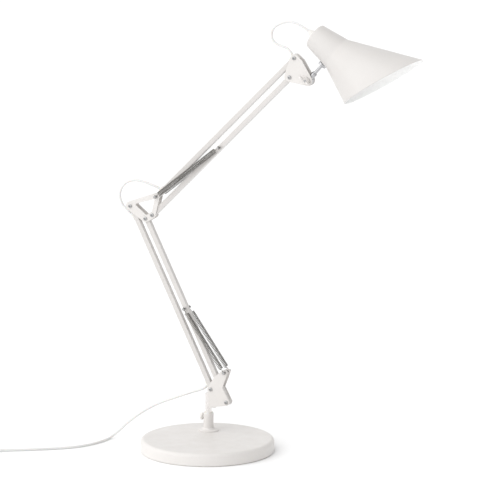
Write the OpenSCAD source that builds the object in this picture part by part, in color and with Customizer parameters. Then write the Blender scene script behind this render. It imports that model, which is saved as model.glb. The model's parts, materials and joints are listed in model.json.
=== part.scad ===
// Swing-arm desk lamp: round weighted base, two sprung parallel-link arms, tilting bell shade.
// Millimetres, +Z up. The origin is on the floor under the axis of the base's socket.
// The arms move in the XZ plane, and the shade reaches towards +X.

/* [Base] */
// Diameter of the round base
base_d = 250; // [180:5:320]
// Height of the base above the floor
base_h = 24; // [16:1:40]
// Distance from the base's centre to the socket's axis
base_offset = 60; // [0:2:90]
// Angle at which the base's centre lies round the socket, from the arms' plane
base_turn = -66; // [-180:1:180]
// Sheet thickness of the base cover
cover_wall = 1.2; // [0.8:0.1:2.5]
// Rounding of the base cover's top edge
cover_round = 7; // [2:0.5:12]
// Thickness of the foam pad under the base
pad_h = 3; // [1.5:0.5:6]

/* [Socket] */
// Wall of the socket's collar, around the bush
collar_wall = 2; // [1:0.25:6]
// Height of the collar above the base
collar_h = 34; // [24:1:60]
// Diameter of the socket's foot flange
flange_d = 39; // [28:1:60]
// Diameter of the steel pin that turns in the socket
pin_d = 12; // [8:0.5:16]
// Diameter of the thumb screw's knob
knob_d = 14; // [10:0.5:24]

/* [Arms] */
// Width of the square arm tubes
tube_w = 9.5; // [8:0.5:16]
// Wall of the arm tubes
tube_wall = 0.8; // [0.6:0.1:1.5]
// Pivot distance of the lower arm
lower_len = 377; // [250:1:450]
// Backward lean of the lower arm from upright, degrees
lower_lean = 26.4; // [10:0.1:45]
// Pivot distance of the upper arm
upper_len = 394; // [250:1:450]
// Rise of the upper arm above level, degrees
upper_rise = 44.15; // [20:0.05:60]
// Diameter of the pivot screws' shanks
screw_d = 5; // [3:0.5:6]
// Room beside each arm tube, up to the bracket plate
tube_room = 0.75; // [0.6:0.05:4]
// Thickness of the bracket plates
plate_t = 1.5; // [1:0.1:3]

/* [Springs] */
// Outer diameter of the coil springs
spring_d = 9.5; // [8:0.5:12]
// Place of the lower arm's spring pin, up the front tube from its pivot
lower_spring_at = 192; // [120:1:260]
// Place of the upper arm's spring pin, along the lower tube from its pivot
upper_spring_at = 196; // [120:1:260]

/* [Shade] */
// Diameter of the shade's back cap
cap_d = 48; // [42:1:70]
// Length of the shade's neck
neck_len = 55; // [40:1:80]
// Diameter of the neck where the bell begins
neck_d = 64; // [52:1:90]
// Half angle of the bell
bell_angle = 23; // [15:0.5:35]
// Length of the bell's axis from the cap to the slanted mouth
bell_len = 150; // [110:1:200]
// Slant of the mouth from square
mouth_slant = 23.75; // [0:0.25:35]
// Droop of the shade's axis below level, degrees
shade_droop = 34.8; // [10:0.2:60]
// Sheet thickness of the shade
shade_wall = 0.9; // [0.7:0.1:2]

/* [Cord] */
// Diameter of the mains cord
cord_d = 4.4; // [3:0.1:7]

/* [Hidden] */
$fn = 64;
run_gap = 0.05;     // radial running clearance of pins and screws in their holes
link_gap = 0.3;     // radial clearance at the pivot that closes each parallel linkage
side_gap = 0.15;    // side clearance between parts that slide past each other
fit_gap = 0.3;      // clearance between pieces that are simply assembled

// A point at polar distance r and angle a in the arms' plane, and a plane point in space.
function polar(r, a) = [r * cos(a), r * sin(a)];
function space(p, y = 0) = [p[0], y, p[1]];
function unit(v) = v / norm(v);

// Pivots in the arms' plane, as [x, z]. Each arm is a parallelogram: its two tubes are equal and parallel.
lower_link = [32, -22];
upper_link = [9, 35.5];
lower_dir = polar(1, 90 + lower_lean);
upper_dir = polar(1, upper_rise);
socket_top = base_h + collar_h;
fork_foot = socket_top + 12;
pivot_a = [8, fork_foot + 35];
pivot_b = pivot_a + lower_link;
pivot_a2 = pivot_a + lower_len * lower_dir;
pivot_b2 = pivot_b + lower_len * lower_dir;
pivot_c = pivot_b2 + [14, 8];
pivot_d = pivot_c + upper_link;
pivot_e = pivot_c + upper_len * upper_dir;
pivot_f = pivot_d + upper_len * upper_dir;
tilt_at = pivot_e + [35, -4];

plate_gap = tube_w + 2 * tube_room;
plate_in = plate_gap / 2;
plate_out = plate_in + plate_t;
bush_d = pin_d + 3;
collar_d = bush_d + 2 * collar_wall;
shank_d = bush_d + 1;
spring_y = tube_w / 2 + spring_d / 2 + 1.7;
hook_wire = 1.4;
spring_bore = spring_d - 2 * hook_wire;
screw_head_d = screw_d + 2.5;
screw_head_t = 2.4;
nut_af = 8;
nut_t = 3.5;
spacer_d = screw_d + 4;
horn_pin_d = 5;
spring_pin_d = 4;
horn_at = [37.5, fork_foot + 70];
horn_pin_len = 2 * (spring_y + 3.6);
cord_hole_d = cord_d + 1.2;
grommet_d = cord_d + 3;

// The shade hangs on a stem square to the lower side of its neck.
stem_d = 6;
stem_len = 44;
stem_foot = 44;
stem_seat = 7;
neck_flare = atan((neck_d - cap_d) / 2 / neck_len);
shade_dir = polar(1, -shade_droop);
shade_up = polar(1, 90 - shade_droop);
neck_line = polar(1, -shade_droop - neck_flare);
stem_dir = polar(1, 90 - shade_droop - neck_flare);
cap_at = tilt_at + stem_len * stem_dir - stem_foot * neck_line + cap_d / 2 * shade_up;
boss_len = 17;
holder_d = 39;
holder_len = 42;
holder_from = 6;
lamp_thread_d = 26.4;
nipple_d = 10;

// Cord routes in space, by hand. The cord lies on the floor at half its own thickness.
floor_z = cord_d / 2;
boot_z = floor_z + 1.6;
supply_route = [
    [-13, 0, 102.5], [-20, 0, 99.5], [-38, 0, 93], [-71, -2, 80], [-102, -6, 67], [-125, -12, 54],
    [-143, -20, 41], [-158, -28, 28], [-170, -36, 15], [-178, -46, 6], [-181, -60, floor_z],
    [-182, -78, floor_z], [-187, -104, floor_z], [-197, -128, floor_z], [-213, -151, floor_z],
    [-242, -176, floor_z], [-276, -200, floor_z], [-305, -218, floor_z], [-336, -237.5, floor_z]];
to_coil_route = [
    [-386, -261.5, floor_z], [-398, -270.5, floor_z], [-403, -284, floor_z], [-402, -297, floor_z],
    [-397.5, -309, floor_z], [-392, -320, floor_z]];
to_plug_route = [
    [-386, -326, 2.8 * floor_z], [-381, -337.5, 2.8 * floor_z], [-375.5, -349, boot_z], [-369.5, -360, boot_z]];
lower_arm_foot = [
    [-12.6, 0, 102.8], [-6.5, 0, 106.5], [-3, 0, 110.5], [-1.5, 0, 114.5], [-1.5, 0, 121]];
lower_arm_head = [
    [-148.5, 0, 417], [-155, 0, 422.5], [-163, 0, 428], [-169, 0, 433.5], [-180, 0, 444], [-185, 0, 460],
    [-181, 0, 475], [-170, 0, 486], [-155, 0, 491], [-137, 0, 490], [-121, 0, 486], [-105, 0, 481]];
upper_arm_foot = [
    [-104.6, 0, 480.8], [-101, 0, 479], [-96.5, 0, 478.5], [-89.5, 0, 480.5]];
upper_arm_head = [
    [169.5, 0, 732], [171.2, 0, 738.6], [170.8, 0, 743], [169.5, 0, 747], [163, 0, 754], [153, 0, 758],
    [142, 0, 761.5], [133, 0, 768], [130, 0, 778], [132, 0, 787], [139, 0, 795], [150, 0, 800.5],
    [165, 0, 803.5], [181, 0, 801]];
route_steps = 2;

// The in-line switch, the stored coil and the plug lie on the floor, each turned by hand.
switch_at = [-361, -249.5];
switch_turn = 206;
switch_size = [62, 24, 18];
rocker_size = [18, 9];
rocker_z = switch_size[2] - 5.5;
coil_at = [-361, -309.5];
coil_mid = 26;
coil_turns_wide = 4;
coil_turns_high = 2;
tie_w = 9;
plug_at = [-370, -357];
plug_turn = -64;
plug_body = [36, 34, 13.5];
plug_pin_d = 4;
plug_pin_len = 19;
plug_pin_pitch = 18.6;
boot_len = 24;
gland_len = 14;

// Plane and placing helpers.

// Extrudes a drawing of the arms' plane to thickness t, from y towards +Y.
module plate(y, t) {
    translate([0, y + t, 0])
        rotate([90, 0, 0])
            linear_extrude(t)
                children();
}

// The same drawing as two bracket plates, one each side of the arm.
module plate_pair() {
    plate(-plate_out, plate_t) children();
    plate(plate_in, plate_t) children();
}

// Lays the children's Z axis across the arm at a point of its plane, starting at y.
module across(p, y) {
    translate(space(p, y))
        rotate([-90, 0, 0])
            children();
}

// Lays the children's X axis along the angle a in the arms' plane, from a point.
module along(p, a) {
    translate(space(p))
        rotate([0, -a, 0])
            children();
}

// A bar in the plane between two round ends, each given as [x, z, radius].
module bar(p, q) {
    d = [q[0] - p[0], q[1] - p[1]];
    run = norm(d);
    lie = atan2(d[1], d[0]);
    open = acos((p[2] - q[2]) / run);
    translate([p[0], p[1]])
        circle(p[2]);
    translate([q[0], q[1]])
        circle(q[2]);
    polygon([
        [p[0], p[1]] + polar(p[2], lie + open), [q[0], q[1]] + polar(q[2], lie + open),
        [q[0], q[1]] + polar(q[2], lie - open), [p[0], p[1]] + polar(p[2], lie - open)]);
}

// A filled outline whose corners are rounded by the listed circles, [x, z, radius] each.
module rounded(corners) {
    polygon([for (c = corners) [c[0], c[1]]]);
    for (i = [0:len(corners) - 1])
        bar(corners[i], corners[(i + 1) % len(corners)]);
}

module hole(p, d) {
    translate(p)
        circle(d = d);
}

// A square tube on the line between two pivots, with round-cornered section and cross holes.
module arm_tube(p, a, len, past, holes) {
    r = 1.2;
    along(p, a)
        difference() {
            translate([-past, 0, 0])
                rotate([90, 0, 90])
                    linear_extrude(len + 2 * past)
                        difference() {
                            square_section(tube_w, r);
                            square_section(tube_w - 2 * tube_wall, r - tube_wall / 2);
                        }
            for (h = holes)
                translate([h[0], tube_w, 0])
                    rotate([90, 0, 0])
                        cylinder(h = 2 * tube_w, d = h[1]);
            children();
        }
}

module square_section(w, r) {
    square([w - 2 * r, w], center = true);
    square([w, w - 2 * r], center = true);
    for (x = [-1, 1], y = [-1, 1])
        translate([x * (w / 2 - r), y * (w / 2 - r)])
            circle(r);
}

// An oval cord hole through one wall of a tube: side is +1 for the upper wall and -1 for the lower.
module cord_slot(at, side, w, h) {
    reach = h - w;
    translate([at, 0, side * tube_w / 2])
        linear_extrude(4 * tube_wall, center = true)
            oval(reach, w);
}

module oval(reach, w) {
    square([reach, w], center = true);
    for (x = [-1, 1])
        translate([x * reach / 2, 0])
            circle(d = w);
}

// A pivot screw: shank across the bracket with a round head on the near plate.
module pivot_screw(p) {
    across(p, -plate_out)
        cylinder(h = 2 * plate_out + nut_t, d = screw_d);
    across(p, -plate_out - screw_head_t)
        rotate_extrude()
            polygon([[0, 0], [screw_head_d / 2 - 1, 0], [screw_head_d / 2, 1],
                [screw_head_d / 2, screw_head_t], [0, screw_head_t]]);
}

module pivot_nut(p) {
    across(p, plate_out)
        difference() {
            cylinder(h = nut_t, d = nut_af / cos(30), $fn = 6);
            translate([0, 0, -1])
                cylinder(h = nut_t + 2, d = screw_d);
        }
}

// A pair of spacer rings that keep a tube in the middle of its bracket.
module pivot_spacers(p) {
    inner = tube_w / 2 + side_gap;
    for (y = [-plate_in, inner])
        across(p, y)
            difference() {
                cylinder(h = plate_in - inner, d = spacer_d);
                translate([0, 0, -1])
                    cylinder(h = plate_in, d = screw_d + 2 * run_gap);
            }
}

// Plastic plugs in both ends of a tube.
module tube_plugs(p, a, len, past) {
    w = tube_w - 2 * tube_wall - 0.1;
    cap = 1;
    stem = 1.6;
    along(p, a)
        for (x = [-past - cap, len + past])
            translate([x, 0, 0]) {
                rotate([90, 0, 90])
                    linear_extrude(cap)
                        square_section(tube_w, 1.2);
                translate([x < 0 ? cap : -stem, 0, 0])
                    rotate([90, 0, 90])
                        linear_extrude(stem)
                            square_section(w, 0.8);
            }
}

// A cord grommet in an oval hole of a tube wall, with the hole that the cord fills.
module grommet(at, side, h) {
    translate([at, 0, side * (tube_w / 2 + 0.2)])
        difference() {
            linear_extrude(2.4, center = true)
                oval(h - grommet_d, grommet_d);
            linear_extrude(4, center = true)
                oval(h - cord_hole_d - 1, cord_d);
        }
}

// A spring pin with a groove near each end for the springs' hooks.
module spring_pin(p, d) {
    groove = hook_wire + 0.4;
    across(p, -horn_pin_len / 2)
        rotate_extrude()
            polygon([[0, 0], [d / 2, 0], [d / 2, 3.6 - groove / 2], [d / 2 - 0.5, 3.6 - groove / 2],
                [d / 2 - 0.5, 3.6 + groove / 2], [d / 2, 3.6 + groove / 2],
                [d / 2, horn_pin_len - 3.6 - groove / 2], [d / 2 - 0.5, horn_pin_len - 3.6 - groove / 2],
                [d / 2 - 0.5, horn_pin_len - 3.6 + groove / 2], [d / 2, horn_pin_len - 3.6 + groove / 2],
                [d / 2, horn_pin_len], [0, horn_pin_len]]);
}

// Two springs side by side from pin p to pin q: each is a hollow coil body with a hook at each end.
// The hook at p grips the groove of its pin, and the one at q lies loosely in its groove.
module spring_pair(p, q, p_pin, q_pin) {
    d = q - p;
    run = norm(d);
    hook = 9;
    p_ring = p_pin / 2 + hook_wire / 2 - 0.7;
    q_ring = q_pin / 2 + hook_wire / 2 - 0.2;
    for (y = [-spring_y, spring_y])
        translate(space(p, y))
            rotate([0, -atan2(d[1], d[0]), 0]) {
                translate([hook, 0, 0])
                    rotate([0, 90, 0])
                        difference() {
                            cylinder(h = run - 2 * hook, d = spring_d);
                            translate([0, 0, hook_wire])
                                cylinder(h = run - 2 * hook - 2 * hook_wire, d = spring_bore);
                        }
                for (loop = [[0, p_ring], [run, q_ring]])
                    translate([loop[0], 0, 0])
                        rotate([90, 0, 0])
                            rotate_extrude()
                                translate([loop[1], 0])
                                    circle(d = hook_wire);
                for (leg = [[p_ring, p_ring], [run - hook - 0.2, q_ring]])
                    translate([leg[0], 0, 0])
                        rotate([0, 90, 0])
                            cylinder(h = hook + 0.2 - leg[1], d = hook_wire);
            }
}

// Cords. A route's points are joined by a smooth curve and swept as one tube.
function spline_point(p, i, t) =
    let (
        a = p[max(i - 1, 0)],
        b = p[i],
        c = p[i + 1],
        d = p[min(i + 2, len(p) - 1)])
    0.5 * (2 * b + (c - a) * t + (2 * a - 5 * b + 4 * c - d) * t * t + (3 * b - a - 3 * c + d) * t * t * t);
function spline(p, steps) =
    [for (i = [0:len(p) - 2], k = [0:steps - 1]) spline_point(p, i, k / steps), p[len(p) - 1]];
function tangents(p) =
    [for (i = [0:len(p) - 1]) unit(p[min(i + 1, len(p) - 1)] - p[max(i - 1, 0)])];
function carried(t, i, n) =
    i >= len(t) ? [] : let (m = unit(n - (n * t[i]) * t[i])) concat([m], carried(t, i + 1, m));

module cord(route, d, steps = route_steps) {
    sides = d < 4 ? 8 : 10;
    line = spline(route, steps);
    t = tangents(line);
    n = carried(t, 0, [0, 1, 0.1]);
    rings = len(line);
    points = [for (i = [0:rings - 1], k = [0:sides - 1])
        line[i] + d / 2 * (cos(360 * k / sides) * n[i] + sin(360 * k / sides) * cross(t[i], n[i]))];
    polyhedron(points, concat(
        [[for (k = [0:sides - 1]) sides - 1 - k]],
        [for (i = [0:rings - 2], k = [0:sides - 1]) let (m = (k + 1) % sides, a = i * sides)
            each [[a + k, a + m, a + sides + m], [a + k, a + sides + m, a + sides + k]]],
        [[for (k = [0:sides - 1]) (rings - 1) * sides + k]]), convexity = 10);
}

// Base.

module at_base() {
    rotate([0, 0, base_turn])
        translate([base_offset, 0, 0])
            children();
}

module base_cover() {
    skirt_z = 1.5;
    r = cover_round;
    color("#ece8e2")
        difference() {
            at_base()
                rotate_extrude($fn = 180)
                    difference() {
                        cover_half(base_d / 2, base_h, r, skirt_z);
                        cover_half(base_d / 2 - cover_wall, base_h - cover_wall, r - cover_wall, -1);
                    }
            translate([0, 0, base_h / 2])
                cylinder(h = base_h, d = shank_d + 2 * fit_gap);
        }
}

module cover_half(outer, top, r, foot) {
    translate([0, foot])
        square([outer, top - foot - r]);
    translate([0, foot])
        square([outer - r, top - foot]);
    translate([outer - r, top - r])
        circle(r);
}

module base_weight() {
    gap = 0.5;
    slab = 10;
    boss_d = 50;
    color("#4a4a4c")
        difference() {
            union() {
                at_base()
                    translate([0, 0, pad_h])
                        cylinder(h = slab, r = base_d / 2 - cover_wall - gap, $fn = 120);
                translate([0, 0, pad_h])
                    cylinder(h = base_h - cover_wall - pad_h, d = boss_d);
            }
            translate([0, 0, pad_h - 1])
                cylinder(h = base_h, d = shank_d + 2 * fit_gap);
            translate([0, 0, pad_h - 1])
                cylinder(h = washer_top - pad_h + 1, d = washer_d + 4);
        }
}

module base_pad() {
    color("#c9c4bc")
        at_base()
            cylinder(h = pad_h, d = base_d - 2 * cover_wall - 1, $fn = 180);
}

bush_lip = 1.2;

module base_socket() {
    foot_z = pad_h + 4;
    r = collar_d / 2;
    color("#ece8e2")
        difference() {
            rotate_extrude()
                polygon([[0, foot_z], [shank_d / 2, foot_z], [shank_d / 2, base_h], [flange_d / 2, base_h],
                    [flange_d / 2, base_h + 1.6], [r + 3, base_h + 3.2], [r, base_h + 6],
                    [r, socket_top - 0.8], [r - 0.8, socket_top], [0, socket_top]]);
            translate([0, 0, base_h - 4])
                cylinder(h = collar_h + 5, d = bush_d);
            translate([-collar_d, 0, thumb_z])
                rotate([0, 90, 0])
                    cylinder(h = collar_d, d = screw_d + 2 * run_gap);
        }
}

thumb_z = socket_top - 8;

module socket_bush() {
    color("#d8d8d6")
        difference() {
            union() {
                translate([0, 0, base_h - 4])
                    cylinder(h = collar_h + 4, d = bush_d);
                translate([0, 0, socket_top])
                    cylinder(h = bush_lip, d = bush_d + 2);
            }
            translate([0, 0, base_h - 2])
                cylinder(h = collar_h + 5, d = pin_d + 2 * run_gap);
            translate([-collar_d, 0, thumb_z])
                rotate([0, 90, 0])
                    cylinder(h = collar_d, d = screw_d + 2 * fit_gap);
        }
}

washer_d = 30;
washer_t = 1.6;
washer_top = pad_h + 9;
clamp_nut_t = 5;

module socket_washer() {
    color("#b9bbbd")
        translate([0, 0, washer_top - washer_t])
            difference() {
                cylinder(h = washer_t, d = washer_d);
                translate([0, 0, -1])
                    cylinder(h = washer_t + 2, d = shank_d + fit_gap);
            }
}

module socket_nut() {
    color("#b9bbbd")
        translate([0, 0, washer_top - washer_t - clamp_nut_t])
            difference() {
                cylinder(h = clamp_nut_t, d = 24 / cos(30), $fn = 6);
                translate([0, 0, -1])
                    cylinder(h = clamp_nut_t + 2, d = shank_d);
            }
}

module thumb_screw() {
    tip = pin_d / 2 + 0.3;
    knob_from = collar_d / 2 + 0.8;
    knob_len = 5.6;
    color("#f0eee9")
        translate([-tip, 0, thumb_z])
            rotate([0, -90, 0]) {
                cylinder(h = knob_from + 2 - tip, d = screw_d);
                translate([0, 0, knob_from - tip])
                    difference() {
                        rotate_extrude()
                            polygon([[0, 0], [3.5, 0], [3.5, 1], [knob_d / 2 - 1, 1], [knob_d / 2, 2],
                                [knob_d / 2, knob_len - 1], [knob_d / 2 - 1, knob_len], [0, knob_len]]);
                        for (k = [0:11])
                            rotate(k * 30)
                                translate([knob_d / 2 + 0.5, 0, -1])
                                    cylinder(h = knob_len + 2, r = 1.1, $fn = 24);
                    }
            }
}

// Fork.

pin_foot = base_h + 1;
web_t = 2;
tang_h = pivot_a[1] - fork_foot - 9;

// The pin's top is milled to a flat tang that stands between the plates.
module pivot_pin() {
    color("#c9cbcc") {
        translate([0, 0, pin_foot])
            cylinder(h = fork_foot - pin_foot, d = pin_d);
        intersection() {
            translate([0, 0, fork_foot])
                cylinder(h = tang_h, d = pin_d);
            translate([-pin_d, -plate_in, fork_foot])
                cube([2 * pin_d, plate_gap, tang_h]);
        }
    }
}

module fork_outline() {
    difference() {
        rounded([
            [pin_d / 4 + 3, fork_foot + 3, 3], [pivot_a[0], pivot_a[1], 7], [20, fork_foot + 56, 6],
            [horn_at[0], horn_at[1], 5.5], [20, fork_foot + 40, 11], [pivot_b[0], pivot_b[1], 6.5]]);
        hole(pivot_a, screw_d + 2 * run_gap);
        hole(pivot_b, screw_d + 2 * run_gap);
        hole(horn_at, horn_pin_d);
    }
}

module fork_bracket() {
    color("#ece8e2") {
        plate_pair()
            fork_outline();
        difference() {
            translate([0, -plate_in - plate_t / 2, fork_foot])
                cube([pin_d + 4, plate_gap + plate_t, web_t]);
            translate([0, 0, fork_foot - 1])
                cylinder(h = web_t + 2, d = pin_d);
        }
    }
}

module fork_screws() {
    color("#8f9194")
        for (p = [pivot_a, pivot_b])
            pivot_screw(p);
}

module fork_nuts() {
    color("#8f9194")
        for (p = [pivot_a, pivot_b])
            pivot_nut(p);
}

module fork_spacers() {
    color("#e4e2dc")
        for (p = [pivot_a, pivot_b])
            pivot_spacers(p);
}

// A stud riveted in each plate, so the tubes pass between the two.
module fork_spring_studs() {
    reach = horn_pin_len / 2 - plate_in;
    groove = hook_wire + 0.4;
    at = reach - 3.6;
    r = horn_pin_d / 2;
    color("#8f9194")
        for (s = [0, 180])
            translate(space(horn_at))
                rotate([s - 90, 0, 0])
                    translate([0, 0, plate_in])
                        rotate_extrude()
                            polygon([[0, 0], [r, 0], [r, at - groove / 2], [r - 0.5, at - groove / 2],
                                [r - 0.5, at + groove / 2], [r, at + groove / 2], [r, reach], [0, reach]]);
}

// Lower arm.

lower_angle = 90 + lower_lean;
tube_past = 4.5;
pivot_hole = screw_d + 2 * run_gap;
loose_hole = screw_d + 2 * link_gap;
lower_foot_slot = [12.5, 13];
lower_head_slot = [lower_len - 20, 15];

module lower_rear_tube() {
    color("#ece8e2")
        arm_tube(pivot_a, lower_angle, lower_len, tube_past, [[0, pivot_hole], [lower_len, pivot_hole]])
            for (s = [lower_foot_slot, lower_head_slot])
                cord_slot(s[0], 1, grommet_d - 1, s[1]);
}

module lower_front_tube() {
    color("#ece8e2")
        arm_tube(pivot_b, lower_angle, lower_len, tube_past,
            [[0, pivot_hole], [lower_len, loose_hole], [lower_spring_at, spring_pin_d]]);
}

module lower_tube_plugs() {
    color("#f1efea")
        tube_plugs(pivot_a, lower_angle, lower_len, tube_past);
}

module lower_front_plugs() {
    color("#f1efea")
        tube_plugs(pivot_b, lower_angle, lower_len, tube_past);
}

module lower_cord_grommets() {
    color("#dedbd4")
        along(pivot_a, lower_angle)
            for (s = [lower_foot_slot, lower_head_slot])
                grommet(s[0], 1, s[1] + 1);
}

module lower_spring_pin() {
    color("#8f9194")
        spring_pin(pivot_b + lower_spring_at * lower_dir, spring_pin_d);
}

module lower_springs() {
    color("#6d6f72")
        spring_pair(horn_at, pivot_b + lower_spring_at * lower_dir, horn_pin_d, spring_pin_d);
}

module lower_arm_cord() {
    color("#f4f2ee")
        cord(concat(lower_arm_foot,
            [for (x = [24:22:lower_len - 40]) space(pivot_a + x * lower_dir)], lower_arm_head), cord_d);
}

// Elbow.

module elbow_outline() {
    difference() {
        rounded([
            [pivot_a2[0], pivot_a2[1], 9], [pivot_d[0], pivot_d[1], 7], [pivot_c[0], pivot_c[1], 7],
            [pivot_b2[0], pivot_b2[1], 7]]);
        rounded([
            [pivot_a2[0] + 13.5, pivot_a2[1] + 3.5, 2], [pivot_d[0] - 6, pivot_d[1] - 7.5, 2],
            [pivot_c[0] - 2, pivot_c[1] + 8, 2], [pivot_b2[0] + 2, pivot_b2[1] + 9.5, 2]]);
        for (p = [pivot_a2, pivot_b2, pivot_c, pivot_d])
            hole(p, screw_d + 2 * run_gap);
    }
}

elbow_pivots = [pivot_a2, pivot_b2, pivot_c, pivot_d];

module elbow_plates() {
    color("#ece8e2")
        plate_pair()
            elbow_outline();
}

module elbow_screws() {
    color("#8f9194") {
        for (p = [pivot_a2, pivot_b2, pivot_c])
            pivot_screw(p);
        across(pivot_d, -plate_out)
            cylinder(h = 2 * plate_out, d = screw_d);
        spring_pin(pivot_d, screw_d);
    }
}

module elbow_nuts() {
    color("#8f9194")
        for (p = [pivot_a2, pivot_b2, pivot_c])
            pivot_nut(p);
}

module elbow_spacers() {
    color("#e4e2dc")
        for (p = elbow_pivots)
            pivot_spacers(p);
}

// Upper arm.

upper_foot_slot = [16, 13];
upper_head_slot = [upper_len - 5, 13];

module upper_front_tube() {
    color("#ece8e2")
        arm_tube(pivot_c, upper_rise, upper_len, tube_past,
            [[0, pivot_hole], [upper_len, loose_hole], [upper_spring_at, spring_pin_d]]);
}

module upper_rear_tube() {
    color("#ece8e2")
        arm_tube(pivot_d, upper_rise, upper_len, tube_past, [[0, pivot_hole], [upper_len, pivot_hole]])
            for (s = [upper_foot_slot, upper_head_slot])
                cord_slot(s[0], 1, grommet_d - 1, s[1]);
}

module upper_front_plugs() {
    color("#f1efea")
        tube_plugs(pivot_c, upper_rise, upper_len, tube_past);
}

module upper_tube_plugs() {
    color("#f1efea")
        tube_plugs(pivot_d, upper_rise, upper_len, tube_past);
}

module upper_cord_grommets() {
    color("#dedbd4")
        along(pivot_d, upper_rise)
            for (s = [upper_foot_slot, upper_head_slot])
                grommet(s[0], 1, s[1] + 1);
}

module upper_spring_pin() {
    color("#8f9194")
        spring_pin(pivot_c + upper_spring_at * upper_dir, spring_pin_d);
}

module upper_springs() {
    color("#6d6f72")
        spring_pair(pivot_d, pivot_c + upper_spring_at * upper_dir, screw_d, spring_pin_d);
}

module upper_arm_cord() {
    color("#f4f2ee")
        cord(concat(upper_arm_foot,
            [for (x = [28:22:upper_len - 30]) space(pivot_d + x * upper_dir)], upper_arm_head,
            [space(cap_at - gland_len * shade_dir)]), cord_d);
}

// Head.

module head_outline() {
    difference() {
        rounded([
            [pivot_e[0] - 2, pivot_e[1] + 1, 9], [pivot_f[0], pivot_f[1], 7.5],
            [pivot_f[0] + 10, pivot_f[1] - 8, 7], [tilt_at[0], tilt_at[1], 10]]);
        for (p = [pivot_e, pivot_f, tilt_at])
            hole(p, screw_d + 2 * run_gap);
    }
}

module head_plates() {
    color("#ece8e2")
        plate_pair()
            head_outline();
}

module head_screws() {
    color("#8f9194")
        for (p = [pivot_e, pivot_f])
            pivot_screw(p);
}

module head_nuts() {
    color("#8f9194")
        for (p = [pivot_e, pivot_f])
            pivot_nut(p);
}

module head_spacers() {
    color("#e4e2dc")
        for (p = [pivot_e, pivot_f])
            pivot_spacers(p);
}

wing_from = plate_out + 1;

module tilt_bolt() {
    color("#8f9194") {
        across(tilt_at, -wing_from - 9)
            cylinder(h = wing_from + 9 + plate_out, d = screw_d);
        across(tilt_at, plate_out)
            cylinder(h = screw_head_t, d = screw_head_d);
        across(tilt_at, -wing_from)
            difference() {
                cylinder(h = 1, d = 12);
                translate([0, 0, -1])
                    cylinder(h = 3, d = screw_d);
            }
    }
}

module wing_nut() {
    hub_h = 8;
    wing_span = 26;
    wing_h = 13;
    color("#f0eee9")
        translate(space(tilt_at, -wing_from))
            rotate([90, 35, 0])
                difference() {
                    union() {
                        cylinder(h = hub_h, d1 = 12, d2 = 10);
                        for (s = [-1, 1])
                            translate([s * (wing_span / 2 - 5), 1.3, wing_h - 5])
                                rotate([90, 0, 0]) {
                                    cylinder(h = 2.6, r = 5);
                                    translate([s > 0 ? -7 : 2, -7, 0])
                                        cube([5, 9, 2.6]);
                                }
                    }
                    translate([0, 0, -1])
                        cylinder(h = hub_h + 6, d = screw_d + 2 * run_gap);
                }
}

module tilt_block() {
    w = plate_gap - 2 * side_gap;
    color("#c9cbcc")
        difference() {
            union() {
                across(tilt_at, -w / 2)
                    cylinder(h = w, d = 18);
                stem_axis()
                    cylinder(h = boss_len, d = plate_gap - 1);
            }
            across(tilt_at, -w)
                cylinder(h = 2 * w, d = screw_d + 2 * run_gap);
            stem_axis()
                translate([0, 0, stem_seat])
                    cylinder(h = stem_len, d = stem_d + 2 * run_gap);
        }
}

// Shade. The stem's axis starts at the tilt pivot, and the shade's axis at its cap, both along +Z.
module stem_axis() {
    translate(space(tilt_at))
        rotate([0, 90 - atan2(stem_dir[1], stem_dir[0]), 0])
            children();
}

module shade_axis() {
    translate(space(cap_at))
        rotate([0, 90 + shade_droop, 0])
            children();
}

module shade_stem() {
    color("#c4c6c8")
        stem_axis() {
            translate([0, 0, stem_seat + side_gap])
                cylinder(h = stem_len + 4 - stem_seat - side_gap, d = stem_d);
            translate([0, 0, boss_len + side_gap])
                cylinder(h = 1.6, d = 9);
        }
}

module stem_nut() {
    color("#c4c6c8")
        stem_axis()
            for (z = [stem_len - fit_gap - 5, stem_len + shade_wall + 2 * fit_gap])
                translate([0, 0, z])
                    difference() {
                        cylinder(h = z < stem_len ? 5 : 1.6, d = z < stem_len ? 16 : 10);
                        translate([0, 0, -1])
                            cylinder(h = 8, d = stem_d);
                    }
}

// Half section of the shade's outside, with the sheet's thickness taken off by inset.
module shade_half(inset, from) {
    cap_r = cap_d / 2 - inset;
    neck_r = neck_d / 2 - inset;
    far = bell_len + base_d;
    polygon([[0, from], [cap_r - 2, from], [cap_r, from + 2], [neck_r, neck_len],
        [neck_r + (far - neck_len) * tan(bell_angle), far], [0, far]]);
}

module shade() {
    color("#ece8e2")
        difference() {
            shade_axis()
                difference() {
                    rotate_extrude($fn = 180)
                        difference() {
                            shade_half(0, 0);
                            shade_half(shade_wall, shade_wall);
                        }
                    translate([0, 0, bell_len])
                        rotate([0, mouth_slant, 0])
                            translate([-2 * base_d, -2 * base_d, 0])
                                cube([4 * base_d, 4 * base_d, 4 * base_d]);
                    translate([0, 0, -1])
                        cylinder(h = 4, d = nipple_d + fit_gap);
                }
            stem_axis()
                translate([0, 0, stem_len - 4])
                    cylinder(h = 10, d = stem_d + fit_gap);
        }
}

module holder_nipple() {
    color("#b9bbbd")
        shade_axis()
            difference() {
                union() {
                    translate([0, 0, -5])
                        cylinder(h = 5 + holder_from + 4, d = nipple_d);
                    translate([0, 0, shade_wall])
                        cylinder(h = holder_from - shade_wall, d = 20);
                }
                translate([0, 0, -6])
                    cylinder(h = 20, d = 6);
            }
}

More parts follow.
